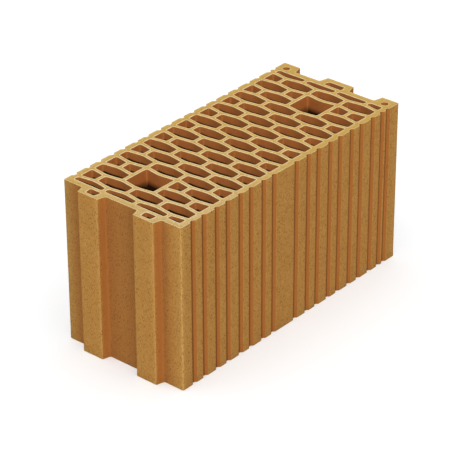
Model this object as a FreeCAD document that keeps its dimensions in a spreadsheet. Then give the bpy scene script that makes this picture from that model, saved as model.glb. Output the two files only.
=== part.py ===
import FreeCAD, Part
import math
import os
import Sketcher

# Hollow clay block: one piece, extruded upwards through a die, cut by wire and fired. The die's
# outline gives the plan, with two tongues on one end and two recesses for a neighbour's tongues
# on the other. Its cores leave a honeycomb of upright cells and two grip holes, and its teeth
# leave the plaster grooves down both long sides.
#
# Lengths are in millimetres, and a share is of the size that it names. In the formulas below
# x = 0 is the end face that carries the tongues, y = 0 is the middle of the wall thickness and
# z = 0 is the bed face. The block's placement then brings the origin under the middle of the
# whole block.

document = FreeCAD.newDocument("clay_block")

# Driving sizes
driving_sizes = [
    ("length", 450.0, "tongue end's face to the tabs' faces"),
    ("width", 200.0, "wall thickness"),
    ("height", 240.0, "one course"),
    ("shell", 10.0, "clay between the cells and the outside"),
    ("web", 6.0, "clay between neighbouring cells"),
    ("cell_bulge", 2.1, "how far a cell's side swings either way of straight"),
    ("cell_corner", 1.3, "flat across the corners of cells and small holes"),
    ("bulge_radius", 40.0, "rounding where a cell is widest"),
    ("edge_radius", 2.0, "outer upright edges"),
    ("tongue_length", 12.0, "how far a tongue stands out"),
    ("tongue_tip", 34.0, "tongue's width at its face"),
    ("tongue_root", 41.0, "tongue's width where it leaves the block"),
    ("tongue_spread", 0.4725, "centre to centre of the two tongues, as a share of the width"),
    ("side_clearance", 4.25, "gap each side of a tongue in the next block's recess"),
    ("end_clearance", 3.0, "gap between a tongue's face and the recess floor"),
    ("key_edge", 1.5, "radius on the outer edges of tongues and tabs"),
    ("key_root", 3.0, "radius at the foot of tongues and tabs"),
    ("tongue_wall", 5.5, "clay between a tongue's hole and its face"),
    ("tongue_hole_tip", 14.5, "hole's width towards the tongue's face"),
    ("tongue_hole_root", 18.0, "hole's width towards the block"),
    ("corner_hole_radius", 4.8, "round hole in each corner tab"),
    ("corner_hole_inset", 14.0, "that hole's centre to both outer faces"),
    ("slot_depth", 9.7, "slot in the middle tab, along the block"),
    ("slot_root", 31.0, "slot's width towards the block"),
    ("slot_tip", 26.0, "slot's width towards the tab's face"),
    ("groove_mouth", 8.0, "plaster groove at the surface"),
    ("groove_floor", 3.5, "plaster groove at its floor"),
    ("groove_depth", 3.0, "plaster groove, into the shell"),
    ("groove_lip", 1.0, "radius on a groove's lips"),
    ("groove_stagger", 1.0, "how far a groove stands from midway between two columns"),
    ("overrun", 5.0, "how far the cores reach past the block's cut faces"),
]
sheet = document.addObject("Spreadsheet::Sheet", "sizes")
for row, (name, value, note) in enumerate(driving_sizes, start=1):
    sheet.set(f"A{row}", name)
    sheet.set(f"B{row}", str(value))
    sheet.set(f"C{row}", note)
    sheet.setAlias(f"B{row}", name)
document.recompute()

# The lattice: whole columns from one end to the other, three and a half cells in each
column_count = 17
full_cells = 3
bare_column = 7  # on the side at low y, no groove stands beyond this column

# Worked out from the driving sizes, as expressions
low_face = "(-sizes.width / 2)"
high_face = "(sizes.width / 2)"
low_wall = f"({low_face} + sizes.shell)"
recess_plane = "(sizes.length - sizes.tongue_length - sizes.end_clearance)"
far_wall = f"({recess_plane} - sizes.shell)"
pitch = f"(({far_wall} - sizes.shell) / {column_count + 1})"
cell = (f"((sizes.width - 2 * sizes.shell - {full_cells - 0.5} * sizes.web)"
        f" / {full_cells + 0.5})")
half_cell = f"(({cell} - sizes.web) / 2)"
row_step = f"({cell} + sizes.web)"
mean_half = f"(({pitch} - sizes.web) / 2)"
swing = f"(sizes.cell_bulge * ({cell} - sizes.web) / {row_step})"
half_widest = f"({mean_half} + sizes.cell_bulge)"
half_narrowest = f"({mean_half} - sizes.cell_bulge)"
half_wide_end = f"({mean_half} + {swing})"
half_narrow_end = f"({mean_half} - {swing})"
tongue_y = "(sizes.width * sizes.tongue_spread / 2)"


def column_x(column):
    """Centre line of a column. Column -1 is the inner face of the tongue end's shell."""
    return f"(sizes.shell + {column + 1} * {pitch})"


def even_low(row):
    """Lower end of a full cell in an even column, which starts at the low wall."""
    return f"({low_wall} + {row} * {row_step})"


def odd_low(row):
    """Lower end of a full cell in an odd column, which starts with a short cell."""
    return f"({low_wall} + {half_cell} + sizes.web + {row} * {row_step})"


# Sketches and pads
def origin_feature(body, role):
    for feature in body.Origin.OriginFeatures:
        if feature.Role == role:
            return feature
    raise ValueError(role)


def hold(sketch, rules):
    """Add constraints together. Each rule is a constraint and the expression that drives it,
    or None."""
    first = sketch.ConstraintCount
    sketch.addConstraint([rule for rule, _ in rules])
    for index, (_, text) in enumerate(rules, start=first):
        if text is not None:
            sketch.setExpression(f"Constraints[{index}]", text)


def closed_loop(sketch, corners):
    """A closed loop through the corners, each (x, y, radius) in expressions, anticlockwise.
    A corner with a radius gets an arc that touches both lines, and its sharp place stays in
    the sketch as a point. A corner whose radius is None stays sharp."""
    count = len(corners)
    places = []
    for x, y, _ in corners:
        places.append(FreeCAD.Vector(sketch.evalExpression(x), sketch.evalExpression(y), 0))
    starts = []
    ends = []
    arcs = {}
    left_turns = {}
    for i, place in enumerate(places):
        if corners[i][2] is None:
            ends.append(place)
            starts.append(place)
            continue
        radius = sketch.evalExpression(corners[i][2])
        before = (place - places[i - 1]).normalize()
        after = (places[(i + 1) % count] - place).normalize()
        turn = math.atan2(before.cross(after).z, before.dot(after))
        reach = radius * math.tan(abs(turn) / 2)
        ends.append(place - before * reach)
        starts.append(place + after * reach)
        left_turns[i] = turn > 0
        inward = FreeCAD.Vector(-before.y, before.x, 0) * math.copysign(1, turn)
        centre = ends[i] + inward * radius
        first = ends[i] if turn > 0 else starts[i]
        angle = math.atan2(first.y - centre.y, first.x - centre.x)
        circle = Part.Circle(centre, FreeCAD.Vector(0, 0, 1), radius)
        arcs[i] = Part.ArcOfCircle(circle, angle, angle + abs(turn))
    lines = [sketch.addGeometry(Part.LineSegment(starts[i - 1], ends[i]), False) for i in range(count)]
    rules = []
    for i, (x, y, radius) in enumerate(corners):
        line_in = lines[i]
        line_out = lines[(i + 1) % count]
        if radius is None:
            mark, mark_point = line_in, 2
            rules.append((Sketcher.Constraint("Coincident", line_in, 2, line_out, 1), None))
        else:
            bend = sketch.addGeometry(arcs[i], False)
            mark, mark_point = sketch.addGeometry(Part.Point(places[i]), True), 1
            arc_in, arc_out = (1, 2) if left_turns[i] else (2, 1)
            rules += [
                (Sketcher.Constraint("Tangent", line_in, 2, bend, arc_in), None),
                (Sketcher.Constraint("Tangent", bend, arc_out, line_out, 1), None),
                (Sketcher.Constraint("PointOnObject", mark, mark_point, line_in), None),
                (Sketcher.Constraint("PointOnObject", mark, mark_point, line_out), None),
                (Sketcher.Constraint("Radius", bend, sketch.evalExpression(radius)), radius),
            ]
        rules += [
            (Sketcher.Constraint("DistanceX", -1, 1, mark, mark_point, places[i].x), x),
            (Sketcher.Constraint("DistanceY", -1, 1, mark, mark_point, places[i].y), y),
        ]
    hold(sketch, rules)
    return [place for place, corner in zip(places, corners) if corner[2] is None]


def upright_edges(shape, places):
    """Names of the shape's upright edges that stand at the given places."""
    names = []
    for index, edge in enumerate(shape.Edges, start=1):
        foot, head = edge.Vertexes[0].Point, edge.Vertexes[-1].Point
        upright = math.hypot(foot.x - head.x, foot.y - head.y) < 1e-6
        if upright and any(math.hypot(foot.x - p.x, foot.y - p.y) < 1e-6 for p in places):
            names.append(f"Edge{index}")
    return names


def padded_body(name, corners, length, flat=None):
    """A body with one closed loop on its base plane, padded to both sides of it. The edges at
    its sharp corners get a chamfer of the size called flat."""
    body = document.addObject("PartDesign::Body", name)
    sketch = body.newObject("Sketcher::SketchObject", f"{name}_plan")
    sketch.AttachmentSupport = [(origin_feature(body, "XY_Plane"), "")]
    sketch.MapMode = "FlatFace"
    sharp_places = closed_loop(sketch, corners)
    pad = body.newObject("PartDesign::Pad", f"{name}_pad")
    pad.Profile = sketch
    pad.SideType = "Symmetric"
    pad.setExpression("Length", length)
    sketch.Visibility = False
    if flat is not None:
        document.recompute()
        chamfer = body.newObject("PartDesign::Chamfer", f"{name}_corners")
        chamfer.Base = (pad, upright_edges(pad.Shape, sharp_places))
        chamfer.setExpression("Size", flat)
        body.Tip = chamfer
    body.Visibility = False
    return body


# Outline of the die
def tongue_corners(side):
    """One tongue, from its low to its high side."""
    middle = f"({side} * {tongue_y})"
    return [
        ("0", f"{middle} - sizes.tongue_root / 2", "sizes.key_root"),
        ("-sizes.tongue_length", f"{middle} - sizes.tongue_tip / 2", "sizes.key_edge"),
        ("-sizes.tongue_length", f"{middle} + sizes.tongue_tip / 2", "sizes.key_edge"),
        ("0", f"{middle} + sizes.tongue_root / 2", "sizes.key_root"),
    ]


def recess_corners(side):
    """The recess that takes such a tongue, from its low to its high side."""
    middle = f"({side} * {tongue_y})"
    half_mouth = "(sizes.tongue_root / 2 + sizes.side_clearance)"
    half_floor = "(sizes.tongue_tip / 2 + sizes.side_clearance)"
    return [
        ("sizes.length", f"{middle} - {half_mouth}", "sizes.key_edge"),
        (recess_plane, f"{middle} - {half_floor}", "sizes.key_root"),
        (recess_plane, f"{middle} + {half_floor}", "sizes.key_root"),
        ("sizes.length", f"{middle} + {half_mouth}", "sizes.key_edge"),
    ]


blank = padded_body("blank", [
    ("0", low_face, "sizes.edge_radius"),
    ("sizes.length", low_face, "sizes.edge_radius"),
    *recess_corners(-1),
    *recess_corners(1),
    ("sizes.length", high_face, "sizes.edge_radius"),
    ("0", high_face, "sizes.edge_radius"),
    *reversed(tongue_corners(1)),
    *reversed(tongue_corners(-1)),
], "sizes.height")
blank.setExpression("Placement.Base.z", "sizes.height / 2")


# Cores: each kind is one body, and links put it at its places
through = "sizes.height + 2 * sizes.overrun"
upright = FreeCAD.Rotation()
half_turn = FreeCAD.Rotation(FreeCAD.Vector(0, 0, 1), 180)
turned_over = FreeCAD.Rotation(FreeCAD.Vector(0, 1, 0), 180)
holes = []


def core_at(core, x, y, rotation=upright):
    link = document.addObject("App::Link", f"{core.Name}_{len(holes)}")
    link.LinkedObject = core
    link.Placement.Rotation = rotation
    link.setExpression("Placement.Base.x", x)
    link.setExpression("Placement.Base.y", y)
    link.setExpression("Placement.Base.z", "sizes.height / 2")
    holes.append(link)


# Full cell: six sides, widest halfway along, with its low end at y = 0
full_core = padded_body("full_core", [
    (f"-{half_narrow_end}", "0", None),
    (half_narrow_end, "0", None),
    (half_widest, f"{cell} / 2", "sizes.bulge_radius"),
    (half_narrow_end, cell, None),
    (f"-{half_narrow_end}", cell, None),
    (f"-{half_widest}", f"{cell} / 2", "sizes.bulge_radius"),
], through, "sizes.cell_corner")

# Short cell: the half of a full one that a wall or a grip hole leaves, wide end up
short_core = padded_body("short_core", [
    (f"-{half_narrow_end}", "0", None),
    (half_narrow_end, "0", None),
    (half_wide_end, half_cell, None),
    (f"-{half_wide_end}", half_cell, None),
], through, "sizes.cell_corner")

# Grip hole: a full cell opened up to the far side of the next column, whose cells stagger
grip_core = padded_body("grip_core", [
    (f"-{half_narrow_end}", "0", None),
    (f"{pitch} + {half_wide_end}", "0", None),
    (f"{pitch} + {half_narrowest}", f"{cell} / 2", "sizes.bulge_radius"),
    (f"{pitch} + {half_wide_end}", cell, None),
    (f"-{half_narrow_end}", cell, None),
    (f"-{half_widest}", f"{cell} / 2", "sizes.bulge_radius"),
], through, "sizes.cell_corner")

# Slim cells: full and short cells cut down their centre line, flat side at x = 0
slim_core = padded_body("slim_core", [
    ("0", "0", None),
    (half_narrow_end, "0", None),
    (half_widest, f"{cell} / 2", "sizes.bulge_radius"),
    (half_narrow_end, cell, None),
    ("0", cell, None),
], through, "sizes.cell_corner")
slim_short_core = padded_body("slim_short_core", [
    ("0", "0", None),
    (half_wide_end, "0", None),
    (half_narrow_end, half_cell, None),
    ("0", half_cell, None),
], through, "sizes.cell_corner")

# Columns of cells, and the two grip holes in place of some of them
low_grip_column = 1
high_grip_column = column_count - 3
full_rows = {
    low_grip_column: (0, 2),
    low_grip_column + 1: (0,),
    high_grip_column: (0, 2),
    high_grip_column + 1: (2,),
}
for column in range(column_count):
    even = column % 2 == 0
    cell_low = even_low if even else odd_low
    for row in full_rows.get(column, range(full_cells)):
        core_at(full_core, column_x(column), cell_low(row))
    if even:
        core_at(short_core, column_x(column), even_low(full_cells))
    else:
        core_at(short_core, column_x(column), f"{low_wall} + {half_cell}", half_turn)
for column, cell_low, next_low, row_below in (
        (low_grip_column, odd_low, even_low, 1),
        (high_grip_column, even_low, odd_low, 0)):
    core_at(grip_core, column_x(column), cell_low(1))
    next_x = column_x(column + 1)
    core_at(short_core, next_x, next_low(row_below))
    core_at(short_core, next_x, f"{next_low(row_below + 1)} + {cell}", half_turn)
for wall, rotation in (("sizes.shell", upright), (far_wall, turned_over)):
    core_at(slim_short_core, wall, low_wall, rotation)
    for row in range(full_cells):
        core_at(slim_core, wall, odd_low(row), rotation)

# Hole down each tongue, a slot in the middle tab and a round hole in each corner tab
tongue_core = padded_body("tongue_core", [
    ("sizes.tongue_wall - sizes.tongue_length", "-sizes.tongue_hole_tip / 2", None),
    ("sizes.shell - sizes.web", "-sizes.tongue_hole_root / 2", None),
    ("sizes.shell - sizes.web", "sizes.tongue_hole_root / 2", None),
    ("sizes.tongue_wall - sizes.tongue_length", "sizes.tongue_hole_tip / 2", None),
], through, "sizes.cell_corner")
slot_core = padded_body("slot_core", [
    ("0", "-sizes.slot_root / 2", None),
    ("sizes.slot_depth", "-sizes.slot_tip / 2", None),
    ("sizes.slot_depth", "sizes.slot_tip / 2", None),
    ("0", "sizes.slot_root / 2", None),
], through, "sizes.cell_corner")
core_at(slot_core, f"{far_wall} + sizes.web", "0")
for side in (-1, 1):
    core_at(tongue_core, "0", f"{side} * {tongue_y}")
    hole = document.addObject("Part::Cylinder", "corner_hole")
    hole.setExpression("Radius", "sizes.corner_hole_radius")
    hole.setExpression("Height", through)
    hole.setExpression("Placement.Base.x", "sizes.length - sizes.corner_hole_inset")
    hole.setExpression("Placement.Base.y", f"{side} * (sizes.width / 2 - sizes.corner_hole_inset)")
    hole.setExpression("Placement.Base.z", "-sizes.overrun")
    hole.Visibility = False
    holes.append(hole)

# Groove: a tooth with the shell's face at y = 0 and its flat tip in the clay. Past its rounded
# lips it follows the face and then stays outside.
lip_reach = "(sizes.groove_mouth / 2 + 2 * sizes.groove_lip)"
groove_tooth = padded_body("groove_tooth", [
    (f"-{lip_reach}", "-sizes.groove_depth", None),
    (lip_reach, "-sizes.groove_depth", None),
    (lip_reach, "0", None),
    ("sizes.groove_mouth / 2", "0", "sizes.groove_lip"),
    ("sizes.groove_floor / 2", "sizes.groove_depth", None),
    ("-sizes.groove_floor / 2", "sizes.groove_depth", None),
    ("-sizes.groove_mouth / 2", "0", "sizes.groove_lip"),
    (f"-{lip_reach}", "0", None),
], through)


def groove_x(column, side):
    """Before the web beyond a column, drawn towards the cell that is narrow at that wall."""
    midway = f"(sizes.shell + {column + 1.5} * {pitch})"
    even_is_narrow = side < 0
    drawn_back = (column % 2 == 0) == even_is_narrow
    return f"{midway} {'-' if drawn_back else '+'} sizes.groove_stagger"


for side, face, rotation in ((-1, low_face, upright), (1, high_face, half_turn)):
    for column in range(-1, column_count):
        if side > 0 or column != bare_column:
            core_at(groove_tooth, groove_x(column, side), face, rotation)
    core_at(groove_tooth, far_wall, face, rotation)

cores = document.addObject("Part::Compound", "cores")
cores.Links = holes
cores.Visibility = False

block = document.addObject("Part::Cut", "clay_block")
block.Label = "clay_block"
block.Base = blank
block.Tool = cores
block.setExpression("Placement.Base.x", "-(sizes.length - sizes.tongue_length) / 2")
document.recompute()

# Nothing is written from a model that has a fault in it
for item in document.Objects:
    if "Invalid" in item.State or "Error" in item.State:
        raise RuntimeError(f"{item.Label} did not recompute: {item.State}")
if block.Shape.isNull() or not block.Shape.isValid() or len(block.Shape.Solids) != 1:
    raise RuntimeError("clay_block is not one valid solid")

os.makedirs("parts", exist_ok=True)
block.Shape.exportStep(f"parts/{block.Label}.step")
box = block.Shape.BoundBox
print(f"{len(holes)} holes and grooves, {block.Shape.Volume / 1e6:.3f} litres of clay,",
      f"{box.XLength:.1f} x {box.YLength:.1f} x {box.ZLength:.1f} mm")
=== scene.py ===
import math

import bpy
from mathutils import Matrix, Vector, noise
from mathutils.geometry import delaunay_2d_cdt


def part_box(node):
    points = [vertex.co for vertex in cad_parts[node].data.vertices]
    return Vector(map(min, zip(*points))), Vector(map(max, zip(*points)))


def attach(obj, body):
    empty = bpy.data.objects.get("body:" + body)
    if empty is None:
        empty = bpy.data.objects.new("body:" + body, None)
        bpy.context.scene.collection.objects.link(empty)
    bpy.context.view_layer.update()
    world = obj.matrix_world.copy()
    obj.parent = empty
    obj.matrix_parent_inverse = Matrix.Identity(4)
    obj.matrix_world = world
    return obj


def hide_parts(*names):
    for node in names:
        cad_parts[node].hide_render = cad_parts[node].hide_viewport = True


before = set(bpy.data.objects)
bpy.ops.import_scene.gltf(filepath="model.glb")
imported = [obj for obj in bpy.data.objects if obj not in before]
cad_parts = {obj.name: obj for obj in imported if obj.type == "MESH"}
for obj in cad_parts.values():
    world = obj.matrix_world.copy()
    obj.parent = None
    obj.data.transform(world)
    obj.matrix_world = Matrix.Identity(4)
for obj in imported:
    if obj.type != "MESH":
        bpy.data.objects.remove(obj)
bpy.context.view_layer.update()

# Hollow clay block, in millimetres: the sizes of the CAD, with the softer edges of the real clay
clayBlock = {
    "length": 450.0,
    "width": 200.0,
    "height": 240.0,
    "shell": 10.0,
    "web": 6.0,
    "columns": 17,
    "fullCells": 3,
    "cellBulge": 2.1,
    "cellCorner": 2.2,
    "bulgeRadius": 40.0,
    "gripColumn": 1,  # where the grip hole at the tongue end begins, and the other is its half turn
    "edgeRadius": 2.0,
    "tongueLength": 12.0,
    "tongueTip": 34.0,
    "tongueRoot": 41.0,
    "tongueSpacing": 94.5,
    "sideClearance": 4.25,
    "endClearance": 3.0,
    "keyEdge": 1.5,
    "keyRoot": 3.0,
    "tongueWall": 5.5,
    "tongueHoleTip": 14.5,
    "tongueHoleRoot": 18.0,
    "cornerHoleRadius": 4.8,
    "cornerHoleInset": 14.0,
    "slotDepth": 9.7,
    "slotRoot": 31.0,
    "slotTip": 26.0,
    "grooveMouth": 8.0,
    "grooveFloor": 3.5,
    "grooveDepth": 3.0,
    "grooveLip": 1.0,
    "grooveRoot": 0.6,
    "grooveStagger": 1.0,
    "grooveLean": 1.2,  # how much further one flank leans than in the CAD
    "bareColumn": 7,
    # mesh
    "pointSpacing": 3.6,  # along straight walls
    "faceSpacing": 3.2,  # across the cut faces
    "bendStep": 24.0,  # degrees of a bend that one face takes up, and of a wide bend
    "wideBendStep": 6.0,
    "wallRows": 16,  # rows of faces up the outside and down the holes
    "holeRows": 4,
    "creaseAngle": 42.0,
    # unevenness
    "faceSink": 0.28,  # cut faces lie this much below their raised rims
    "dragWay": (0.62, 0.78),  # along the drag lines of the wire, their width, length and share of faceSink
    "dragWidth": 2.4,
    "dragLength": 40.0,
    "dragShare": 0.35,
    "rimUnevenness": 0.3,
    "wallUnevenness": 0.3,  # how deep the walls dip, at most
    # from the cut face over the raised rim to the wall: how far into the clay, how far under the cut plane
    # (None follows the cut face) and how pale, a painted highlight along the rim
    "rimProfile": (
        (1.9, None, 0.0),
        (1.25, 0.06, 0.75),
        (0.75, 0.0, 1.0),
        (0.28, 0.22, 0.75),
        (0.0, 0.85, 0.0),
    ),
    # wear and painted highlights, tint and painted shade
    # painted highlight down the bends at the holes' corners
    "holeCornerHighlight": 0.15,
    # wear with a painted highlight
    "cornerWearAndHighlight": 0.3,  # beside the block's corners and the tongues' front edges
    "cornerReach": 13.0,
    "frontReach": 9.0,
    # the pale rim is a painted highlight
    "outerRim": 0.35,  # how strong the pale rim is on the outer edges, and round the corner tabs' holes
    "roundRim": 0.4,
    "footDepth": 0.92,  # painted shade and reddish bounce light at a tongue's foot, its share between the tongues, and its reach
    "footTint": 0.7,
    "footReach": 26.0,
    "nearReach": 22.0,  # the same on the near corner's side
    # shade beside a tongue: everywhere, more at its foot, how far that reaches and how fast it falls
    "farShade": (0.5, 0.6, 20.0, 1.2),
    "middleShade": (0.45, 0.55, 32.0, 1.5),
    "nearShade": (0.0, 0.6, 14.0, 1.0),
    "fallTurn": 27.0,  # degrees from the block's length along which the holes are measured for their shade
    "leastSpan": 0.3,  # share of a hole's longest span that its corners count with
    "dustPlace": (19.0, -90.0, 240.0),  # near the corner beside the tongue end
    "dustReach": 250.0,
    "dustColour": (0.70, 0.625, 0.46, 1),
    "shadeTint": (0.69, 0.76, 0.84, 1),  # what shaded walls are multiplied with
    # painted shadow deep in the holes
    "holeShadowColour": (0.008, 0.003, 0.001, 1),
    # painted shade and reddish bounce light in the recesses
    "recessShadeColour": (0.275, 0.099, 0.0225, 1),
    # painted shadow on the groove floors, as their lips cast it
    "grooveShadowColour": (0.155, 0.056, 0.014, 1),
    # wear with a painted highlight on the edges
    "wearAndHighlightColour": (0.46, 0.29, 0.085, 1),
    # painted highlight on the raised rims
    "rimHighlightColour": (0.72, 0.60, 0.335, 1),
    "speckColour": (0.165, 0.052, 0.012, 1),
    "skinClay": {
        "colour": (0.328, 0.174, 0.046, 1),
        "shade": (0.272, 0.130, 0.030, 1),
        "lineTurn": (0, 90, 90),  # lines of the die, up and down
        "lineDepth": 0.25,
        "speckCoverage": 0.72,
        "speckAmount": 1.0,
        "pitAmount": 0.6,
        "holeShadowAmount": 0.0,
        "dustAmount": 0.0,
    },
    "cutClay": {
        "colour": (0.53, 0.350, 0.103, 1),
        "shade": (0.455, 0.288, 0.0735, 1),
        "lineTurn": (0, 0, -38),  # lines of the wire, slanting
        "lineDepth": 0.5,
        "speckCoverage": 0.6,
        "speckAmount": 0.45,
        "pitAmount": 0.4,
        "holeShadowAmount": 0.0,
        "dustAmount": 0.62,
    },
    # clay down the holes: darker and redder than the skin, as painted shade and reddish bounce light there
    "coreClay": {
        "colour": (0.320, 0.101, 0.0250, 1),
        "shade": (0.272, 0.084, 0.0195, 1),
        "lineTurn": (0, 90, 90),
        "lineDepth": 0.3,
        "speckCoverage": 0.4,
        "speckAmount": 0.2,
        "pitAmount": 0.2,
        "holeShadowAmount": 0.96,
        "dustAmount": 0.0,
    },
}

millimetre = 0.001
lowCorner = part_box("clay_block")[0]
startX = lowCorner[0] / millimetre + clayBlock["tongueLength"]  # where the tongues' root plane stands

# The lattice, worked out as in the CAD: x from the tongue end's face, y from the middle of the wall
block = clayBlock
halfWidth = block["width"] / 2
recessPlane = block["length"] - block["tongueLength"] - block["endClearance"]
farWall = recessPlane - block["shell"]
lowWall = block["shell"] - halfWidth
pitch = (farWall - block["shell"]) / (block["columns"] + 1)
cellRoom = block["width"] - 2 * block["shell"] - (block["fullCells"] - 0.5) * block["web"]
cell = cellRoom / (block["fullCells"] + 0.5)
halfCell = (cell - block["web"]) / 2
rowStep = cell + block["web"]
meanHalf = (pitch - block["web"]) / 2
swing = block["cellBulge"] * (cell - block["web"]) / rowStep
widest = meanHalf + block["cellBulge"]
narrowest = meanHalf - block["cellBulge"]
wideEnd = meanHalf + swing
narrowEnd = meanHalf - swing
tongueMiddle = block["tongueSpacing"] / 2
tipHalf = block["tongueTip"] / 2
rootHalf = block["tongueRoot"] / 2


def columnX(column):
    return block["shell"] + (column + 1) * pitch


def evenLow(row):
    return lowWall + row * rowStep


def oddLow(row):
    return lowWall + halfCell + block["web"] + row * rowStep


# The same corners at another place, as they are, given half a turn or turned over to face the other end
def placed(corners, x, y, turn="none"):
    if turn == "half":
        return [(x - u, y - v, radius) for u, v, radius in corners]
    if turn == "over":
        return [(x - u, y + v, radius) for u, v, radius in reversed(corners)]
    return [(x + u, y + v, radius) for u, v, radius in corners]


# Every corner is its place and the radius that rounds it
def outlineCorners():
    lips = (
        (-block["grooveMouth"] / 2, 0.0, block["grooveLip"]),
        (-block["grooveFloor"] / 2, block["grooveDepth"], block["grooveRoot"]),
        (block["grooveFloor"] / 2, block["grooveDepth"], block["grooveRoot"]),
        (block["grooveMouth"] / 2 + block["grooveLean"], 0.0, block["grooveLip"]),
    )
    grooves = {-1: [], 1: []}
    for side in (-1, 1):
        for column in range(-1, block["columns"]):
            if side > 0 or column != block["bareColumn"]:
                drawnBack = (column % 2 == 0) == (side < 0)
                stagger = -block["grooveStagger"] if drawnBack else block["grooveStagger"]
                grooves[side].append(block["shell"] + (column + 1.5) * pitch + stagger)
        grooves[side].append(farWall)
    corners = [(0.0, -halfWidth, block["edgeRadius"])]
    for x in sorted(grooves[-1]):
        corners += [(x + u, v - halfWidth, radius) for u, v, radius in lips]
    corners.append((block["length"], -halfWidth, block["edgeRadius"]))
    recessMouth = rootHalf + block["sideClearance"]
    recessFloor = tipHalf + block["sideClearance"]
    for middle in (-tongueMiddle, tongueMiddle):
        corners += [
            (block["length"], middle - recessMouth, block["keyEdge"]),
            (recessPlane, middle - recessFloor, block["keyRoot"]),
            (recessPlane, middle + recessFloor, block["keyRoot"]),
            (block["length"], middle + recessMouth, block["keyEdge"]),
        ]
    corners.append((block["length"], halfWidth, block["edgeRadius"]))
    for x in sorted(grooves[1], reverse=True):
        corners += [(x - u, halfWidth - v, radius) for u, v, radius in lips]
    corners.append((0.0, halfWidth, block["edgeRadius"]))
    for middle in (tongueMiddle, -tongueMiddle):
        corners += [
            (0.0, middle + rootHalf, block["keyRoot"]),
            (-block["tongueLength"], middle + tipHalf, block["keyEdge"]),
            (-block["tongueLength"], middle - tipHalf, block["keyEdge"]),
            (0.0, middle - rootHalf, block["keyRoot"]),
        ]
    return corners


def holeCorners():
    small = block["cellCorner"]
    bulge = block["bulgeRadius"]
    fullCell = [
        (-narrowEnd, 0, small), (narrowEnd, 0, small), (widest, cell / 2, bulge),
        (narrowEnd, cell, small), (-narrowEnd, cell, small), (-widest, cell / 2, bulge),
    ]
    shortCell = [
        (-narrowEnd, 0, small), (narrowEnd, 0, small),
        (wideEnd, halfCell, small), (-wideEnd, halfCell, small),
    ]
    gripHole = [
        (-narrowEnd, 0, small), (pitch + wideEnd, 0, small), (pitch + narrowest, cell / 2, bulge),
        (pitch + wideEnd, cell, small), (-narrowEnd, cell, small), (-widest, cell / 2, bulge),
    ]
    slimCell = [
        (0, 0, small), (narrowEnd, 0, small), (widest, cell / 2, bulge),
        (narrowEnd, cell, small), (0, cell, small),
    ]
    slimShort = [
        (0, 0, small), (wideEnd, 0, small), (narrowEnd, halfCell, small), (0, halfCell, small),
    ]
    tipX = block["tongueWall"] - block["tongueLength"]
    rootX = block["shell"] - block["web"]
    tongueHole = [
        (tipX, -block["tongueHoleTip"] / 2, small), (rootX, -block["tongueHoleRoot"] / 2, small),
        (rootX, block["tongueHoleRoot"] / 2, small), (tipX, block["tongueHoleTip"] / 2, small),
    ]
    tabSlot = [
        (0, -block["slotRoot"] / 2, small), (block["slotDepth"], -block["slotTip"] / 2, small),
        (block["slotDepth"], block["slotTip"] / 2, small), (0, block["slotRoot"] / 2, small),
    ]
    radius = block["cornerHoleRadius"]
    roundHole = [(u * radius, v * radius, radius) for u, v in ((-1, -1), (1, -1), (1, 1), (-1, 1))]

    holes = []
    lowGrip = block["gripColumn"]
    highGrip = block["columns"] - 2 - block["gripColumn"]
    # the rows of full cells that the grip holes leave in their two columns
    rowsKept = {lowGrip: (0, 2), lowGrip + 1: (0,), highGrip: (0, 2), highGrip + 1: (2,)}
    for column in range(block["columns"]):
        even = column % 2 == 0
        cellLow = evenLow if even else oddLow
        for row in rowsKept.get(column, range(block["fullCells"])):
            holes.append(placed(fullCell, columnX(column), cellLow(row)))
        if even:
            holes.append(placed(shortCell, columnX(column), evenLow(block["fullCells"])))
        else:
            holes.append(placed(shortCell, columnX(column), lowWall + halfCell, "half"))
    for column, cellLow, nextLow, rowBelow in ((lowGrip, oddLow, evenLow, 1), (highGrip, evenLow, oddLow, 0)):
        holes.append(placed(gripHole, columnX(column), cellLow(1)))
        holes.append(placed(shortCell, columnX(column + 1), nextLow(rowBelow)))
        holes.append(placed(shortCell, columnX(column + 1), nextLow(rowBelow + 1) + cell, "half"))
    for wall, turn in ((block["shell"], "none"), (farWall, "over")):
        holes.append(placed(slimShort, wall, lowWall, turn))
        for row in range(block["fullCells"]):
            holes.append(placed(slimCell, wall, oddLow(row), turn))
    inset = block["cornerHoleInset"]
    for side in (-1, 1):
        holes.append(placed(tongueHole, 0, side * tongueMiddle))
        holes.append(placed(roundHole, block["length"] - inset, side * (halfWidth - inset)))
    holes.append(placed(tabSlot, farWall + block["web"], 0))
    return holes


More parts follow.
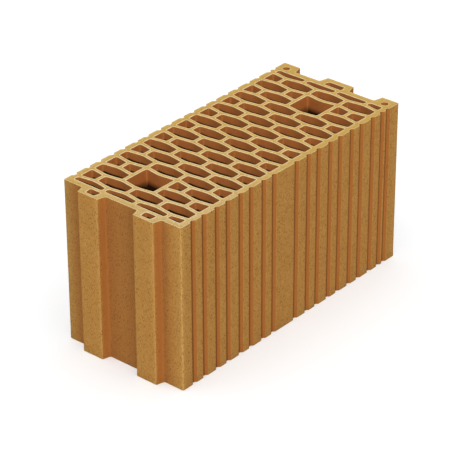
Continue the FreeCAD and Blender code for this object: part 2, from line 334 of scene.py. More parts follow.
# Points round a loop, anticlockwise: each is its place, its bend's radius if that turns left, and how near
# it is to the middle of a tight bend
def loopPoints(corners):
    wideBend = 10.0  # from this radius on, a bend is only a wave of the wall
    softBend = 1.4  # over this radius, a bend is pale up to its ends
    endCrest = 0.45
    leastGap = 0.02  # two bends nearer than this share a point
    places = [Vector((x, y)) for x, y, _ in corners]
    count = len(places)
    arcs = []
    for i, place in enumerate(places):
        radius = corners[i][2]
        before = (place - places[i - 1]).normalized()
        after = (places[(i + 1) % count] - place).normalized()
        turn = math.atan2(before.x * after.y - before.y * after.x, before.dot(after))
        first = place - before * radius * math.tan(abs(turn) / 2)
        centre = first + Vector((-before.y, before.x)) * radius * math.copysign(1, turn)
        step = block["bendStep"] if radius < wideBend else block["wideBendStep"]
        steps = max(2, math.ceil(abs(turn) / math.radians(step)))
        spoke = first - centre
        leastCrest = endCrest if radius > softBend else 0.0
        arc = []
        for k in range(steps + 1):
            angle = turn * k / steps
            turned = Vector((spoke.x * math.cos(angle) - spoke.y * math.sin(angle),
                             spoke.x * math.sin(angle) + spoke.y * math.cos(angle)))
            crest = 0.0
            if turn > 0 and radius < wideBend:
                crest = max(math.sin(math.pi * k / steps), leastCrest)
            arc.append((centre + turned, radius if turn > 0 else 0.0, crest))
        arcs.append(arc)
    points = []
    for i, arc in enumerate(arcs):
        following = arcs[(i + 1) % count]
        points += arc
        gap = following[0][0] - arc[-1][0]
        if gap.length < leastGap:
            points.pop()
            continue
        parts = max(1, round(gap.length / block["pointSpacing"]))
        points += [(arc[-1][0] + gap * k / parts, 0.0, 0.0) for k in range(1, parts)]
    return points


# How each point of a loop moves into the clay, for one millimetre of offset
def claySide(points, isHole):
    leastSpread = 0.75  # keeps sharp bends from moving too far
    count = len(points)
    ways = []
    for i in range(count):
        before = (points[i][0] - points[i - 1][0]).normalized()
        after = (points[(i + 1) % count][0] - points[i][0]).normalized()
        mean = Vector((-before.y - after.y, before.x + after.x)).normalized()
        stretch = 1 / max(leastSpread, math.sqrt((1 + before.dot(after)) / 2))
        ways.append(mean * stretch * (-1 if isHole else 1))
    return ways


def wave(x, y, z, scale):
    return noise.noise(Vector((x / scale, y / scale, z / scale)))


skinIndex, cutIndex, coreIndex = 0, 1, 2  # the clays' places on the mesh
openSpan = 1000.0  # stands for no opposite wall
bendRoom = 0.85  # share of its radius that a bend may move in
tongueLine = -0.4  # points beyond this x belong to a tongue for their tint and wear
footLine = -1.2  # and beyond this one for their shade
faceSlack = 0.1  # how far off a face or a bend a point may lie and still count as on it

vertices = []
faces = []
faceClays = []
pointValues = {"edgeWearAndHighlight": [], "paintedRecessShade": [], "paintedRimHighlight": [], "holeSpan": [], "wallShade": []}


def addVertex(x, y, z, wearAndHighlight=0.0, recessShade=0.0, rim=0.0, span=1.0, shade=0.0):
    vertices.append(((x + startX) * millimetre, y * millimetre, z * millimetre))
    for values, value in zip(pointValues.values(), (wearAndHighlight, recessShade, rim, span * millimetre, shade)):
        values.append(value)
    return len(vertices) - 1


# How far the cut face lies under the cut plane, with the drag lines of the wire slanting across it
def faceDrop(x, y, isTop):
    wayX, wayY = block["dragWay"]
    along = wayX * x + wayY * y
    across = wayY * x - wayX * y
    layer = 3.1 if isTop else 8.7  # of the noise, so that the two faces differ
    drag = noise.noise(Vector((across / block["dragWidth"], along / block["dragLength"], layer)))
    return block["faceSink"] * (1 + block["dragShare"] * drag)


# How reddish the outside is, as painted shade and bounce light: 1 on the flanks of grooves, tongues and
# recesses, and 2 on groove floors, a darker painted shadow
def outlineRecessShade(x, y):
    floorBand = 0.08  # points this near a groove's floor count as on it
    flankMost, flankRise = 1.2, 0.1  # the most tint, and the depth in which it grows by 1
    recessMost, recessRise = 0.9, 1.2  # the same for a recess, and then for a tongue
    tongueRise = 2.0
    edge = block["edgeRadius"] + faceSlack
    depth = halfWidth - abs(y)
    if depth <= block["grooveDepth"] + faceSlack / 2:
        if not edge <= x <= block["length"] - edge:
            return 0.0
        return 2.0 if depth > block["grooveDepth"] - floorBand else min(flankMost, depth / flankRise)
    if x > block["length"] / 2:
        return min(recessMost, (block["length"] - x) / recessRise)
    spread = abs(abs(y) - tongueMiddle)
    if x < tongueLine:
        onFront = spread < tipHalf - 1
        return 0.0 if onFront else min(1.0, (x + block["tongueLength"]) / tongueRise)
    # the face that the tongues stand on gets painted shade: most at their feet, none at the block's corners
    fromFoot = spread - rootHalf
    if y < -tongueMiddle:
        return block["footDepth"] * max(0.0, 1 - fromFoot / block["nearReach"])
    near = max(0.0, 1 - fromFoot / block["footReach"])
    outwards = max(0.0, (abs(y) - tongueMiddle - rootHalf) / block["footReach"])
    return block["footDepth"] * (near + (1 - near) * block["footTint"] * max(0.0, 1 - outwards))


# How shaded the face is that the tongues stand on: most at a foot that its tongue keeps the light from
def outlineShade(x, y):
    if not footLine < x < block["edgeRadius"]:
        return 0.0
    if y > tongueMiddle:
        fromFoot = y - tongueMiddle - rootHalf
        everywhere, more, reach, fall = block["farShade"]
    elif y > -tongueMiddle:
        fromFoot = y + tongueMiddle - rootHalf
        everywhere, more, reach, fall = block["middleShade"]
    else:
        fromFoot = -y - tongueMiddle - rootHalf
        everywhere, more, reach, fall = block["nearShade"]
    return min(1.0, everywhere + more * max(0.0, 1 - fromFoot / reach) ** fall)


# How worn and pale the outside is, wear with a painted highlight: most on the round edges, and a little on
# what lies beside the corners
def outlineWearAndHighlight(x, y, radius, crest):
    bendDepth = 1.1  # how far the front edges' bends reach back
    wearAndHighlight = crest * min(1.0, radius / block["edgeRadius"])
    if x < tongueLine:
        # of a tongue, only the front edge that faces the light, and softly the front beside it
        toEdge = y - math.copysign(tongueMiddle, y) + tipHalf
        if toEdge > block["frontReach"]:
            return 0.0
        wearAndHighlight = max(wearAndHighlight, block["cornerWearAndHighlight"] * (1 - max(0.0, toEdge) / block["frontReach"]))
        return wearAndHighlight * max(0.0, 1 - (x + block["tongueLength"]) / bendDepth)
    toEnd = max(0.0, min(x, block["length"] - x))
    toSide = halfWidth - abs(y)
    if min(toEnd, toSide) < block["edgeRadius"] + faceSlack:
        wearAndHighlight = max(wearAndHighlight, block["cornerWearAndHighlight"] * (1 - max(toEnd, toSide) / block["cornerReach"]))
    return wearAndHighlight


# How far it is across a hole from each of its points, slantwise as the light falls in. It counts a little
# longer for the walls at the hole's ends
def holeSpans(points, ways):
    longShare = 0.15  # of the hole's longest span in that of each point
    sideWeight = 0.89
    endWeight = 0.28
    nudge = 1e-4  # keeps the measuring line off the points
    turn = math.radians(block["fallTurn"])
    fall = Vector((math.cos(turn), math.sin(turn)))
    count = len(points)
    alongs = [place.dot(fall) for place, _, _ in points]
    asides = [place.y * fall.x - place.x * fall.y for place, _, _ in points]
    spans = []
    for i in range(count):
        aside = asides[i] + nudge
        crossings = [alongs[i]]
        for k in range(count):
            following = (k + 1) % count
            if (asides[k] > aside) != (asides[following] > aside):
                share = (aside - asides[k]) / (asides[following] - asides[k])
                crossings.append(alongs[k] + share * (alongs[following] - alongs[k]))
        spans.append(max(crossings) - min(crossings))
    longest = max(spans)
    least = block["leastSpan"] * longest
    return [((1 - longShare) * max(least, span) + longShare * longest)
            * (sideWeight + endWeight * min(1.0, abs(way.y))) for span, way in zip(spans, ways)]


# 0 on the walls at a hole's high end, which face the light, and up to 1 on its long walls near the low end
def holeShades(points, ways):
    endShare = 0.67  # of the shade, what walls lose that face the light, and what all lose high up
    highShare = 0.33
    litFrom, litRise = 0.3, 0.3
    xs = [place.x for place, _, _ in points]
    ys = [place.y for place, _, _ in points]
    start, extent = min(ys), max(ys) - min(ys)
    isGrip = max(xs) - min(xs) > 1.5 * pitch
    shades = []
    for y, way in zip(ys, ways):
        share = (y - start) / extent
        if isGrip:
            lit = 1 + 2 * max(0.0, share - 0.5)  # it lets in more light, and most at its high end
        else:
            lit = min(1.0, max(0.0, (share - litFrom) / litRise))
        shades.append(max(0.0, 1 - highShare * lit - endShare * max(0.0, way.y)))
    return shades


# The wall of one loop, with the rims at both of its ends
def buildLoop(points, isHole, rimScale):
    roughScale, fineScale, dipScale = 9.0, 3.2, 24.0
    fineShare = 0.8  # of the fine unevenness to the rough one
    sag = 0.07  # how much lower the rim lies at most where it is rough
    dipStretch = 0.35  # dips are longer up and down
    dipMargin = 12.0  # and fade out this near the rims
    rimProfile = block["rimProfile"]
    height = block["height"]
    ways = claySide(points, isHole)
    count = len(points)
    if isHole:
        spans = holeSpans(points, ways)
        shades = holeShades(points, ways)
        # painted highlight down the bends at the holes' corners
        wearsAndHighlights = [crest * block["holeCornerHighlight"] for _, _, crest in points]
        recessShades = [0.0] * count
        rooms = [math.inf] * count
    else:
        spans = [openSpan] * count
        shades = [outlineShade(place.x, place.y) for place, _, _ in points]
        wearsAndHighlights = [outlineWearAndHighlight(place.x, place.y, radius, crest) for place, radius, crest in points]
        # painted shade and reddish bounce light in the recesses and on the flanks
        recessShades = [outlineRecessShade(place.x, place.y) for place, _, _ in points]
        rooms = [bendRoom * radius if radius > 0 else math.inf for _, radius, _ in points]
    ends = []
    for isTop in (True, False):
        layer = 0 if isTop else 300  # of the noise, so that the two ends differ
        rows = []
        for offset, depth, pale in rimProfile:
            onWall = offset == 0
            row = []
            for i, (place, _, _) in enumerate(points):
                rough = wave(place.x, place.y, layer, roughScale)
                fine = wave(place.x, place.y, layer + 50, fineScale)
                uneven = 1 + block["rimUnevenness"] * (rough + fineShare * fine)
                spot = place + ways[i] * min(offset * uneven, rooms[i])
                if depth is None:
                    down = faceDrop(spot.x, spot.y, isTop)
                else:
                    down = depth * uneven + sag * max(0.0, rough)
                down = max(0.0, down)
                z = height - down if isTop else down
                recessShade = recessShades[i] if onWall else 0.0
                shade = shades[i] if onWall else 0.0
                row.append(addVertex(spot.x, spot.y, z, wearsAndHighlights[i], recessShade, pale * rimScale, spans[i], shade))
            rows.append(row)
        ends.append(rows)
    bottom = rimProfile[-1][1]
    rowCount = block["holeRows"] if isHole else block["wallRows"]
    middle = []
    for k in range(1, rowCount):
        z = bottom + (height - 2 * bottom) * (1 - k / rowCount)
        deepest = block["wallUnevenness"] * min(1.0, min(z, height - z) / dipMargin)
        row = []
        for i, (place, _, _) in enumerate(points):
            dip = (0.5 + 0.5 * wave(place.x, place.y, z * dipStretch, dipScale)) * deepest
            spot = place + ways[i] * min(dip, rooms[i])
            row.append(addVertex(spot.x, spot.y, z, wearsAndHighlights[i], recessShades[i], 0.0, spans[i], shades[i]))
        middle.append(row)
    rings = ends[0] + middle + list(reversed(ends[1]))
    rimRows = len(rimProfile) - 1
    for k in range(len(rings) - 1):
        upper, lower = rings[k], rings[k + 1]
        isRim = k < rimRows - 1 or k >= len(rings) - rimRows
        wallIndex = coreIndex if isHole else skinIndex
        for i in range(count):
            j = (i + 1) % count
            quad = (lower[i], lower[j], upper[j], upper[i])
            faces.append(tuple(reversed(quad)) if isHole else quad)
            faceClays.append(cutIndex if isRim else wallIndex)
    return rings[0], rings[-1]


loops = [(loopPoints(outlineCorners()), False, block["outerRim"])]
for corners in holeCorners():
    isRound = corners[0][2] == block["cornerHoleRadius"]
    loops.append((loopPoints(corners), True, block["roundRim"] if isRound else 1.0))
topRings = []
bottomRings = []
for points, isHole, rimScale in loops:
    topRing, bottomRing = buildLoop(points, isHole, rimScale)
    topRings.append(topRing)
    bottomRings.append(bottomRing)
print("walls built:", len(loops), "loops,", len(vertices), "vertices")


def isInside(x, y, ring):
    inside = False
    count = len(ring)
    for i in range(count):
        ax, ay = ring[i]
        bx, by = ring[(i + 1) % count]
        if (ay > y) != (by > y) and x < ax + (y - ay) * (bx - ax) / (by - ay):
            inside = not inside
    return inside


# Places spread over a cut face between the rims, in rows but each a little off its place
def spreadPlaces(flatRings):
    rimRoom = 1.5  # kept free along the rims
    offPlace, offScale = 0.9, 1.7
    rowShare = 0.866  # makes the triangles equal
    spacing = block["faceSpacing"]
    crowded = {(math.floor(x / rimRoom), math.floor(y / rimRoom)) for ring in flatRings for x, y in ring}
    holes = []
    for ring in flatRings[1:]:
        xs, ys = zip(*ring)
        holes.append((min(xs), max(xs), min(ys), max(ys), ring))
    found = []
    y = -halfWidth
    shift = 0.0
    while y < halfWidth:
        x = -block["tongueLength"] + shift
        while x < block["length"]:
            px = x + offPlace * wave(x, y, 11, offScale)
            py = y + offPlace * wave(x, y, 29, offScale)
            column, row = math.floor(px / rimRoom), math.floor(py / rimRoom)
            isNear = any((column + i, row + j) in crowded for i in (-1, 0, 1) for j in (-1, 0, 1))
            if not isNear and isInside(px, py, flatRings[0]):
                if not any(x0 < px < x1 and y0 < py < y1 and isInside(px, py, ring)
                           for x0, x1, y0, y1, ring in holes):
                    found.append((px, py))
            x += spacing
        y += spacing * rowShare
        shift = spacing / 2 - shift
    return found


# One cut face, with points between the rims so that its slight relief shows
def fillFace(rings, isTop):
    flatRings = [[(vertices[v][0] / millimetre - startX, vertices[v][1] / millimetre) for v in ring]
                 for ring in rings]
    places = []
    indices = []
    edges = []
    owners = []  # which loop a place belongs to, or -1 for one between them
    for owner, (ring, flatRing) in enumerate(zip(rings, flatRings)):
        first = len(places)
        count = len(ring)
        places += [Vector(spot) for spot in flatRing]
        indices += ring
        owners += [owner] * count
        edges += [(first + k, first + (k + 1) % count) for k in range(count)]
    for x, y in spreadPlaces(flatRings):
        down = faceDrop(x, y, isTop)
        places.append(Vector((x, y)))
        indices.append(addVertex(x, y, block["height"] - down if isTop else down))
        owners.append(-1)
    insideHull = 1
    mergeWithin = 1e-5
    result = delaunay_2d_cdt(places, edges, [], insideHull, mergeWithin)
    triangles, origins = result[2], result[3]
    kept = 0
    for triangle in triangles:
        sources = [origins[v][0] for v in triangle]
        met = {owners[v] for v in sources}
        if len(met) == 1 and -1 not in met:
            # all on one loop: it may lie in a hole, or outside the block
            middle = (places[sources[0]] + places[sources[1]] + places[sources[2]]) / 3
            owner = met.pop()
            if isInside(middle.x, middle.y, flatRings[owner]) != (owner == 0):
                continue
        kept += 1
        corner = tuple(indices[v] for v in sources)
        (ax, ay, _), (bx, by, _), (cx, cy, _) = [vertices[v] for v in corner]
        upward = (bx - ax) * (cy - ay) - (by - ay) * (cx - ax) > 0
        faces.append(corner if upward == isTop else tuple(reversed(corner)))
        faceClays.append(cutIndex)
    return kept


topCount = fillFace(topRings, True)
bottomCount = fillFace(bottomRings, False)
print("cut faces built:", topCount, "and", bottomCount, "triangles")

blockMesh = bpy.data.meshes.new("clayBlock")
blockMesh.from_pydata(vertices, [], faces)
blockMesh.update()
for name, values in pointValues.items():
    attribute = blockMesh.attributes.new(name, "FLOAT", "POINT")
    attribute.data.foreach_set("value", values)
blockMesh.polygons.foreach_set("material_index", faceClays)
blockMesh.shade_smooth()
blockMesh.set_sharp_from_angle(angle=math.radians(block["creaseAngle"]))
blockPiece = bpy.data.objects.new("clayBlock", blockMesh)
bpy.context.scene.collection.objects.link(blockPiece)
triangleCount = sum(len(face) - 2 for face in faces)
print("block mesh:", len(vertices), "vertices,", triangleCount, "triangles")


# Shader nodes
def addNode(tree, kind, x, y, **settings):
    made = tree.nodes.new(kind)
    made.location = (x, y)
    for key, value in settings.items():
        setattr(made, key, value)
    return made


def feed(tree, socket, value):
    if isinstance(value, bpy.types.NodeSocket):
        tree.links.new(value, socket)
    else:
        socket.default_value = value


def addMath(tree, operation, x, y, first, second, clamp=False):
    made = addNode(tree, "ShaderNodeMath", x, y, operation=operation, use_clamp=clamp)
    feed(tree, made.inputs[0], first)
    feed(tree, made.inputs[1], second)
    return made.outputs[0]


def addMix(tree, x, y, factor, first, second, blend="MIX"):
    made = addNode(tree, "ShaderNodeMix", x, y, data_type="RGBA", blend_type=blend)
    for index, value in ((0, factor), (6, first), (7, second)):
        feed(tree, made.inputs[index], value)
    return made.outputs[2]


def addRange(tree, x, y, value, fromLow, fromHigh, toLow=0.0, toHigh=1.0):
    made = addNode(tree, "ShaderNodeMapRange", x, y)
    for socket, given in zip(made.inputs, (value, fromLow, fromHigh, toLow, toHigh)):
        feed(tree, socket, given)
    return made.outputs[0]


def addNoise(tree, x, y, place, scale, detail, roughness):
    made = addNode(tree, "ShaderNodeTexNoise", x, y)
    for label, value in (("Vector", place), ("Scale", scale), ("Detail", detail), ("Roughness", roughness)):
        feed(tree, made.inputs[label], value)
    return made.outputs["Fac"]


def addReading(tree, x, y, name):
    return addNode(tree, "ShaderNodeAttribute", x, y, attribute_name=name).outputs["Fac"]


number = "NodeSocketFloat"
vector = "NodeSocketVector"


def makeGroup(name, inputs, outputs):
    group = bpy.data.node_groups.new(name, "ShaderNodeTree")
    for label, kind, value in inputs:
        socket = group.interface.new_socket(name=label, in_out="INPUT", socket_type=kind)
        socket.default_value = value
    for label, kind in outputs:
        group.interface.new_socket(name=label, in_out="OUTPUT", socket_type=kind)
    start = addNode(group, "NodeGroupInput", -900, 0)
    end = addNode(group, "NodeGroupOutput", 900, 0)
    return group, start.outputs, end.inputs


def placeGroup(tree, group, x, y, values):
    made = addNode(tree, "ShaderNodeGroup", x, y, node_tree=group)
    for label, value in values.items():
        feed(tree, made.inputs[label], value)
    return made.outputs


# Soft patches of lighter and darker clay, large and small
def makeMottleGroup():
    fineShare = 0.6  # of the fine patches in the whole
    finerBy = 9.0
    gainBy = 3.0
    group, start, end = makeGroup("clayMottle", [
        ("Vector", vector, (0, 0, 0)), ("Scale", number, 22.0), ("Contrast", number, 0.7),
    ], [("Patches", number)])
    broad = addNoise(group, -600, 200, start["Vector"], start["Scale"], detail=3.0, roughness=0.55)
    fineScale = addMath(group, "MULTIPLY", -700, -100, start["Scale"], finerBy)
    fine = addNoise(group, -500, -100, start["Vector"], fineScale, detail=3.0, roughness=0.6)
    finePart = addMath(group, "MULTIPLY", -250, 50, fine, fineShare)
    broadPart = addMath(group, "MULTIPLY", -250, 250, broad, 1 - fineShare)
    total = addMath(group, "ADD", 0, 50, finePart, broadPart)
    centred = addMath(group, "SUBTRACT", 200, 50, total, 0.5)
    gain = addMath(group, "MULTIPLY", 200, -150, start["Contrast"], gainBy)
    spread = addMath(group, "MULTIPLY", 350, 50, centred, gain)
    feed(group, end["Patches"], addMath(group, "ADD", 550, 50, spread, 0.5, clamp=True))
    return group


# Dark slanting specks and small round pits
def makeSpeckGroup():
    slantTurn = 38.0
    slantStretch = 0.4
    speckEdge = 0.09
    pitShare = 0.3  # of the specks' scale
    emptyShare = 0.7  # of the places for pits, how many stay empty
    group, start, end = makeGroup("claySpecks", [
        ("Vector", vector, (0, 0, 0)), ("Scale", number, 950.0), ("Coverage", number, 0.5),
    ], [("Specks", number), ("Pits", number)])
    slant = addNode(group, "ShaderNodeMapping", -700, 200)
    feed(group, slant.inputs["Vector"], start["Vector"])
    feed(group, slant.inputs["Rotation"], (math.radians(slantTurn), math.radians(-slantTurn), 0))
    feed(group, slant.inputs["Scale"], (1.0, 1.0, slantStretch))
    grain = addNoise(group, -450, 200, slant.outputs["Vector"], start["Scale"], detail=2.0, roughness=0.6)
    edge = addRange(group, -450, -50, start["Coverage"], 0.0, 1.0, toLow=0.72, toHigh=0.5)
    softEdge = addMath(group, "ADD", -250, -50, edge, speckEdge)
    feed(group, end["Specks"], addRange(group, -50, 200, grain, edge, softEdge))
    pits = addNode(group, "ShaderNodeTexVoronoi", -450, -300)
    feed(group, pits.inputs["Vector"], start["Vector"])
    feed(group, pits.inputs["Scale"], addMath(group, "MULTIPLY", -700, -300, start["Scale"], pitShare))
    feed(group, pits.inputs["Randomness"], 1.0)
    chosen = addNode(group, "ShaderNodeSeparateColor", -200, -400)
    feed(group, chosen.inputs[0], pits.outputs["Color"])
    isPit = addMath(group, "GREATER_THAN", 0, -400, chosen.outputs[0], emptyShare)
    hollow = addRange(group, 0, -200, pits.outputs["Distance"], 0.13, 0.27, toLow=1.0, toHigh=0.0)
    feed(group, end["Pits"], addMath(group, "MULTIPLY", 250, -250, isPit, hollow))
    return group


# Pale clay dust that gathers round one spot, in grains
def makeDustGroup():
    group, start, end = makeGroup("clayDust", [
        ("Vector", vector, (0, 0, 0)), ("Centre", vector, (0, 0, 0)), ("Reach", number, 0.25),
        ("Scale", number, 900.0), ("Amount", number, 1.0),
    ], [("Mask", number)])
    gap = addNode(group, "ShaderNodeVectorMath", -600, 200, operation="DISTANCE")
    feed(group, gap.inputs[0], start["Vector"])
    feed(group, gap.inputs[1], start["Centre"])
    near = addRange(group, -350, 200, gap.outputs["Value"], 0.0, start["Reach"], toLow=1.0, toHigh=0.0)
    grain = addNoise(group, -600, -100, start["Vector"], start["Scale"], detail=3.0, roughness=0.7)
    grains = addRange(group, -350, -100, grain, 0.48, 0.60, toLow=0.05)
    both = addMath(group, "MULTIPLY", 0, 0, near, grains)
    feed(group, end["Mask"], addMath(group, "MULTIPLY", 250, 0, both, start["Amount"], clamp=True))
    return group


# Fine parallel lines that a wire or a die leaves along one direction
def makeDragGroup():
    lineStretch = 0.05
    group, start, end = makeGroup("dragLines", [
        ("Vector", vector, (0, 0, 0)), ("Turn", vector, (0, 0, 0)), ("Scale", number, 620.0),
    ], [("Lines", number)])
    turned = addNode(group, "ShaderNodeMapping", -600, 0)
    feed(group, turned.inputs["Vector"], start["Vector"])
    feed(group, turned.inputs["Rotation"], start["Turn"])
    feed(group, turned.inputs["Scale"], (1.0, lineStretch, 1.0))
    lines = addNoise(group, -300, 0, turned.outputs["Vector"], start["Scale"], detail=3.0, roughness=0.6)
    feed(group, end["Lines"], lines)
    return group


# Pale edges of wear and painted highlight, broken up so that they don't read as painted lines
def makeEdgeGroup():
    group, start, end = makeGroup("paleEdge", [
        ("Vector", vector, (0, 0, 0)), ("Edge", number, 0.0), ("Amount", number, 0.6),
    ], [("Mask", number)])
    breakScale = 260.0
    broken = addNoise(group, -500, 0, start["Vector"], breakScale, detail=4.0, roughness=0.7)
    kept = addRange(group, -250, 0, broken, 0.36, 0.6, toLow=0.6)
    wearAndHighlight = addMath(group, "MULTIPLY", 0, 0, start["Edge"], kept)
    feed(group, end["Mask"], addMath(group, "MULTIPLY", 250, 0, wearAndHighlight, start["Amount"], clamp=True))
    return group


# How deep a place lies in its hole, against how wide the hole is there, for a painted shadow: 0 lit, 1 dark
def makeDepthGroup():
    group, start, end = makeGroup("holeDepth", [
        ("Vector", vector, (0, 0, 0)), ("Height", number, 0.24), ("Span", number, 0.02),
        ("Limit", number, 0.67), ("Falloff", number, 3.2), ("Softness", number, 4.5),
    ], [("Depth", number)])
    split = addNode(group, "ShaderNodeSeparateXYZ", -700, 0)
    feed(group, split.inputs[0], start["Vector"])
    below = addMath(group, "SUBTRACT", -500, -100, start["Height"], split.outputs["Z"])
    nearer = addMath(group, "MINIMUM", -300, 0, split.outputs["Z"], below)
    share = addMath(group, "DIVIDE", -100, 0, nearer, start["Span"])
    drop = addMath(group, "MULTIPLY", -500, -250, start["Span"], start["Falloff"])
    last = addMath(group, "SUBTRACT", -300, -250, start["Limit"], drop)
    spread = addMath(group, "MULTIPLY", -500, -400, start["Span"], start["Softness"])
    begin = addMath(group, "SUBTRACT", -100, -350, last, spread)
    feed(group, end["Depth"], addRange(group, 100, 0, share, begin, last))
    return group


# One surface normal from the grain, the pits and the drag lines
def makeReliefGroup():
    grainDepth = 0.5
    pitDepth = 1.3
    fullDepth = 0.0006  # in metres
    group, start, end = makeGroup("clayRelief", [
        ("Grain", number, 0.0), ("Pits", number, 0.0), ("Lines", number, 0.0),
        ("Line depth", number, 0.3), ("Strength", number, 0.45),
    ], [("Normal", vector)])
    grain = addMath(group, "MULTIPLY", -500, 200, start["Grain"], grainDepth)
    pits = addMath(group, "MULTIPLY", -500, 0, start["Pits"], pitDepth)
    lines = addMath(group, "MULTIPLY", -500, -200, start["Lines"], start["Line depth"])
    ground = addMath(group, "SUBTRACT", -350, 100, lines, grain)
    bump = addNode(group, "ShaderNodeBump", 100, 0)
    feed(group, bump.inputs["Distance"], fullDepth)
    feed(group, bump.inputs["Height"], addMath(group, "SUBTRACT", -250, 0, ground, pits))
    feed(group, bump.inputs["Strength"], start["Strength"])
    feed(group, end["Normal"], bump.outputs["Normal"])
    return group


mottleGroup = makeMottleGroup()
speckGroup = makeSpeckGroup()
dragGroup = makeDragGroup()
edgeGroup = makeEdgeGroup()
reliefGroup = makeReliefGroup()
depthGroup = makeDepthGroup()
dustGroup = makeDustGroup()
print("clay effects built")


def makeClay(name):
    finish = block[name]
    material = bpy.data.materials.new(name)
    material.use_nodes = True
    tree = material.node_tree
    shader = tree.nodes["Principled BSDF"]
    place = addNode(tree, "ShaderNodeTexCoord", -1700, 0).outputs["Object"]
    wearAndHighlight = addReading(tree, -1700, -300, "edgeWearAndHighlight")
    recessShade = addReading(tree, -1700, -500, "paintedRecessShade")
    rim = addReading(tree, -1700, -700, "paintedRimHighlight")
    lineTurn = tuple(math.radians(angle) for angle in finish["lineTurn"])

    patches = placeGroup(tree, mottleGroup, -1400, 300, {
        "Vector": place, "Scale": 22.0, "Contrast": 0.7,
    })["Patches"]
    grain = placeGroup(tree, speckGroup, -1400, 0, {
        "Vector": place, "Scale": 950.0, "Coverage": finish["speckCoverage"],
    })
    lines = placeGroup(tree, dragGroup, -1400, -200, {
        "Vector": place, "Turn": lineTurn, "Scale": 620.0,
    })["Lines"]
    # pale edges: wear with a painted highlight
    edges = placeGroup(tree, edgeGroup, -1400, -400, {"Vector": place, "Edge": wearAndHighlight, "Amount": 0.6})["Mask"]
    # pale rims: painted highlight
    rims = placeGroup(tree, edgeGroup, -1400, -600, {"Vector": place, "Edge": rim, "Amount": 0.95})["Mask"]

    clay = addMix(tree, -1100, 300, patches, finish["shade"], finish["colour"])
    # recesses and flanks: painted shade and reddish bounce light
    onFlank = addRange(tree, -1100, 100, recessShade, 0.0, 1.0)
    clay = addMix(tree, -900, 300, onFlank, clay, block["recessShadeColour"])
    # groove floors: a darker painted shadow
    onFloor = addRange(tree, -1100, -100, recessShade, 1.0, 2.0)
    clay = addMix(tree, -800, 300, onFloor, clay, block["grooveShadowColour"])
    clay = addMix(tree, -700, 300, edges, clay, block["wearAndHighlightColour"])
    clay = addMix(tree, -500, 300, rims, clay, block["rimHighlightColour"])
    if finish["dustAmount"] > 0:
        dustX, dustY, dustZ = block["dustPlace"]
        centre = ((dustX + startX) * millimetre, dustY * millimetre, dustZ * millimetre)
        dust = placeGroup(tree, dustGroup, -700, 700, {
            "Vector": place, "Centre": centre, "Reach": block["dustReach"] * millimetre, "Scale": 900.0,
            "Amount": finish["dustAmount"],
        })["Mask"]
        clay = addMix(tree, -400, 700, dust, clay, block["dustColour"])
    specks = addMath(tree, "MULTIPLY", -700, 0, grain["Specks"], finish["speckAmount"])
    offFlank = addRange(tree, -700, -300, recessShade, 0.93, 1.0, toLow=1.0, toHigh=0.2)  # flanks are smoother
    specks = addMath(tree, "MULTIPLY", -500, 0, specks, offFlank)
    clay = addMix(tree, -300, 300, specks, clay, block["speckColour"])
    pits = addMath(tree, "MULTIPLY", -700, -150, grain["Pits"], finish["pitAmount"])
    clay = addMix(tree, -100, 300, pits, clay, block["speckColour"])
    shaded = addReading(tree, -1700, 700, "wallShade")
    clay = addMix(tree, 50, 300, shaded, clay, block["shadeTint"], "MULTIPLY")
    # painted shadow deep down the holes
    if finish["holeShadowAmount"] > 0:
        depth = placeGroup(tree, depthGroup, -700, 500, {
            "Vector": place, "Height": block["height"] * millimetre,
            "Span": addReading(tree, -1700, 500, "holeSpan"), "Limit": 0.67, "Falloff": 3.2, "Softness": 4.5,
        })["Depth"]
        deep = addMath(tree, "MULTIPLY", -300, 500, depth, finish["holeShadowAmount"])
        clay = addMix(tree, 0, 500, deep, clay, block["holeShadowColour"])
    feed(tree, shader.inputs["Base Color"], clay)
    roughness = addRange(tree, -300, 0, patches, 0.0, 1.0, toLow=0.95, toHigh=0.82)
    feed(tree, shader.inputs["Roughness"], roughness)
    feed(tree, shader.inputs["Specular IOR Level"], 0.03)
    relief = placeGroup(tree, reliefGroup, -900, -600, {
        "Grain": grain["Specks"], "Pits": grain["Pits"], "Lines": lines,
        "Line depth": finish["lineDepth"], "Strength": 0.45,
    })["Normal"]
    feed(tree, shader.inputs["Normal"], relief)
    return material


for name in ("skinClay", "cutClay", "coreClay"):
    blockMesh.materials.append(makeClay(name))
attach(blockPiece, "root")
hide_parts("clay_block")
print("clay materials built")

# Floor, light and camera, in metres and degrees
studio = {
    "cameraPlace": (-2.09373, -1.77169, 1.66637),
    "cameraTurn": (60.4839, 0.26, -49.6676),
    "lens": 187.457,
    "sensorWidth": 36.0,
    "clipRange": (0.1, 100.0),
    "worldColour": (1.0, 0.99, 0.97, 1),
    "worldLight": 0.42,
    "keyTurn": 39.0,  # from the tongue end's normal towards the near long side
    "keyRise": 30.0,
    "keySpread": 8.0,
    "keyPower": 2.85,
    "topRise": 80.0,
    "topSpread": 90.0,
    "topPower": 1.15,
    "lampDistance": 3.0,
    "floorColour": (0.89, 0.905, 0.92, 1),
    "floorReach": 30.0,
    "floorDrop": 0.0005,  # keeps the floor clear of the bed face
}

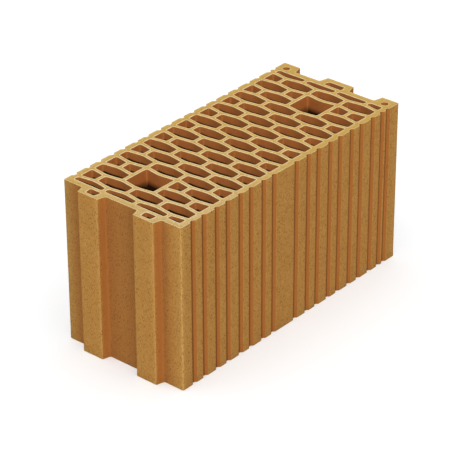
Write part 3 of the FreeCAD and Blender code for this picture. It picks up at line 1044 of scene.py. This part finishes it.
reach = studio["floorReach"]
floorMesh = bpy.data.meshes.new("floor")
floorMesh.from_pydata(
    [(u * reach, v * reach, -studio["floorDrop"]) for u, v in ((-1, -1), (1, -1), (1, 1), (-1, 1))],
    [], [(0, 1, 2, 3)])
floor = bpy.data.objects.new("floor", floorMesh)
bpy.context.scene.collection.objects.link(floor)
floorMaterial = bpy.data.materials.new("paleFloor")
floorMaterial.use_nodes = True
floorShader = floorMaterial.node_tree.nodes["Principled BSDF"]
floorShader.inputs["Base Color"].default_value = studio["floorColour"]
floorShader.inputs["Roughness"].default_value = 1.0
floorShader.inputs["Specular IOR Level"].default_value = 0.0
floorMesh.materials.append(floorMaterial)

# Soft light from all round, and plain white where the camera looks past the floor
world = bpy.data.worlds.new("studioWorld")
bpy.context.scene.world = world
world.use_nodes = True
worldTree = world.node_tree
softLight = worldTree.nodes["Background"]
softLight.inputs["Color"].default_value = studio["worldColour"]
softLight.inputs["Strength"].default_value = studio["worldLight"]
white = addNode(worldTree, "ShaderNodeBackground", -200, -200)
white.inputs["Color"].default_value = (1, 1, 1, 1)
white.inputs["Strength"].default_value = 1.0
rays = addNode(worldTree, "ShaderNodeLightPath", -400, 200)
choice = addNode(worldTree, "ShaderNodeMixShader", 100, 0)
feed(worldTree, choice.inputs[0], rays.outputs["Is Camera Ray"])
feed(worldTree, choice.inputs[1], softLight.outputs[0])
feed(worldTree, choice.inputs[2], white.outputs[0])
feed(worldTree, worldTree.nodes["World Output"].inputs["Surface"], choice.outputs[0])


def addSun(name, rise, spread, power):
    light = bpy.data.lights.new(name, "SUN")
    light.energy = power
    light.angle = math.radians(spread)
    lamp = bpy.data.objects.new(name, light)
    turn = math.radians(studio["keyTurn"])
    level = math.cos(math.radians(rise))
    towards = Vector((-level * math.cos(turn), -level * math.sin(turn), math.sin(math.radians(rise))))
    lamp.location = towards * studio["lampDistance"]
    lamp.rotation_euler = (-towards).to_track_quat("-Z", "Y").to_euler()
    bpy.context.scene.collection.objects.link(lamp)


addSun("keyLight", studio["keyRise"], studio["keySpread"], studio["keyPower"])
addSun("topLight", studio["topRise"], studio["topSpread"], studio["topPower"])

cameraData = bpy.data.cameras.new("photoCamera")
cameraData.lens = studio["lens"]
cameraData.sensor_width = studio["sensorWidth"]
cameraData.clip_start, cameraData.clip_end = studio["clipRange"]
camera = bpy.data.objects.new("photoCamera", cameraData)
camera.location = studio["cameraPlace"]
camera.rotation_euler = [math.radians(angle) for angle in studio["cameraTurn"]]
bpy.context.scene.collection.objects.link(camera)
bpy.context.scene.camera = camera
bpy.context.scene.view_settings.view_transform = "Standard"
print("studio built")
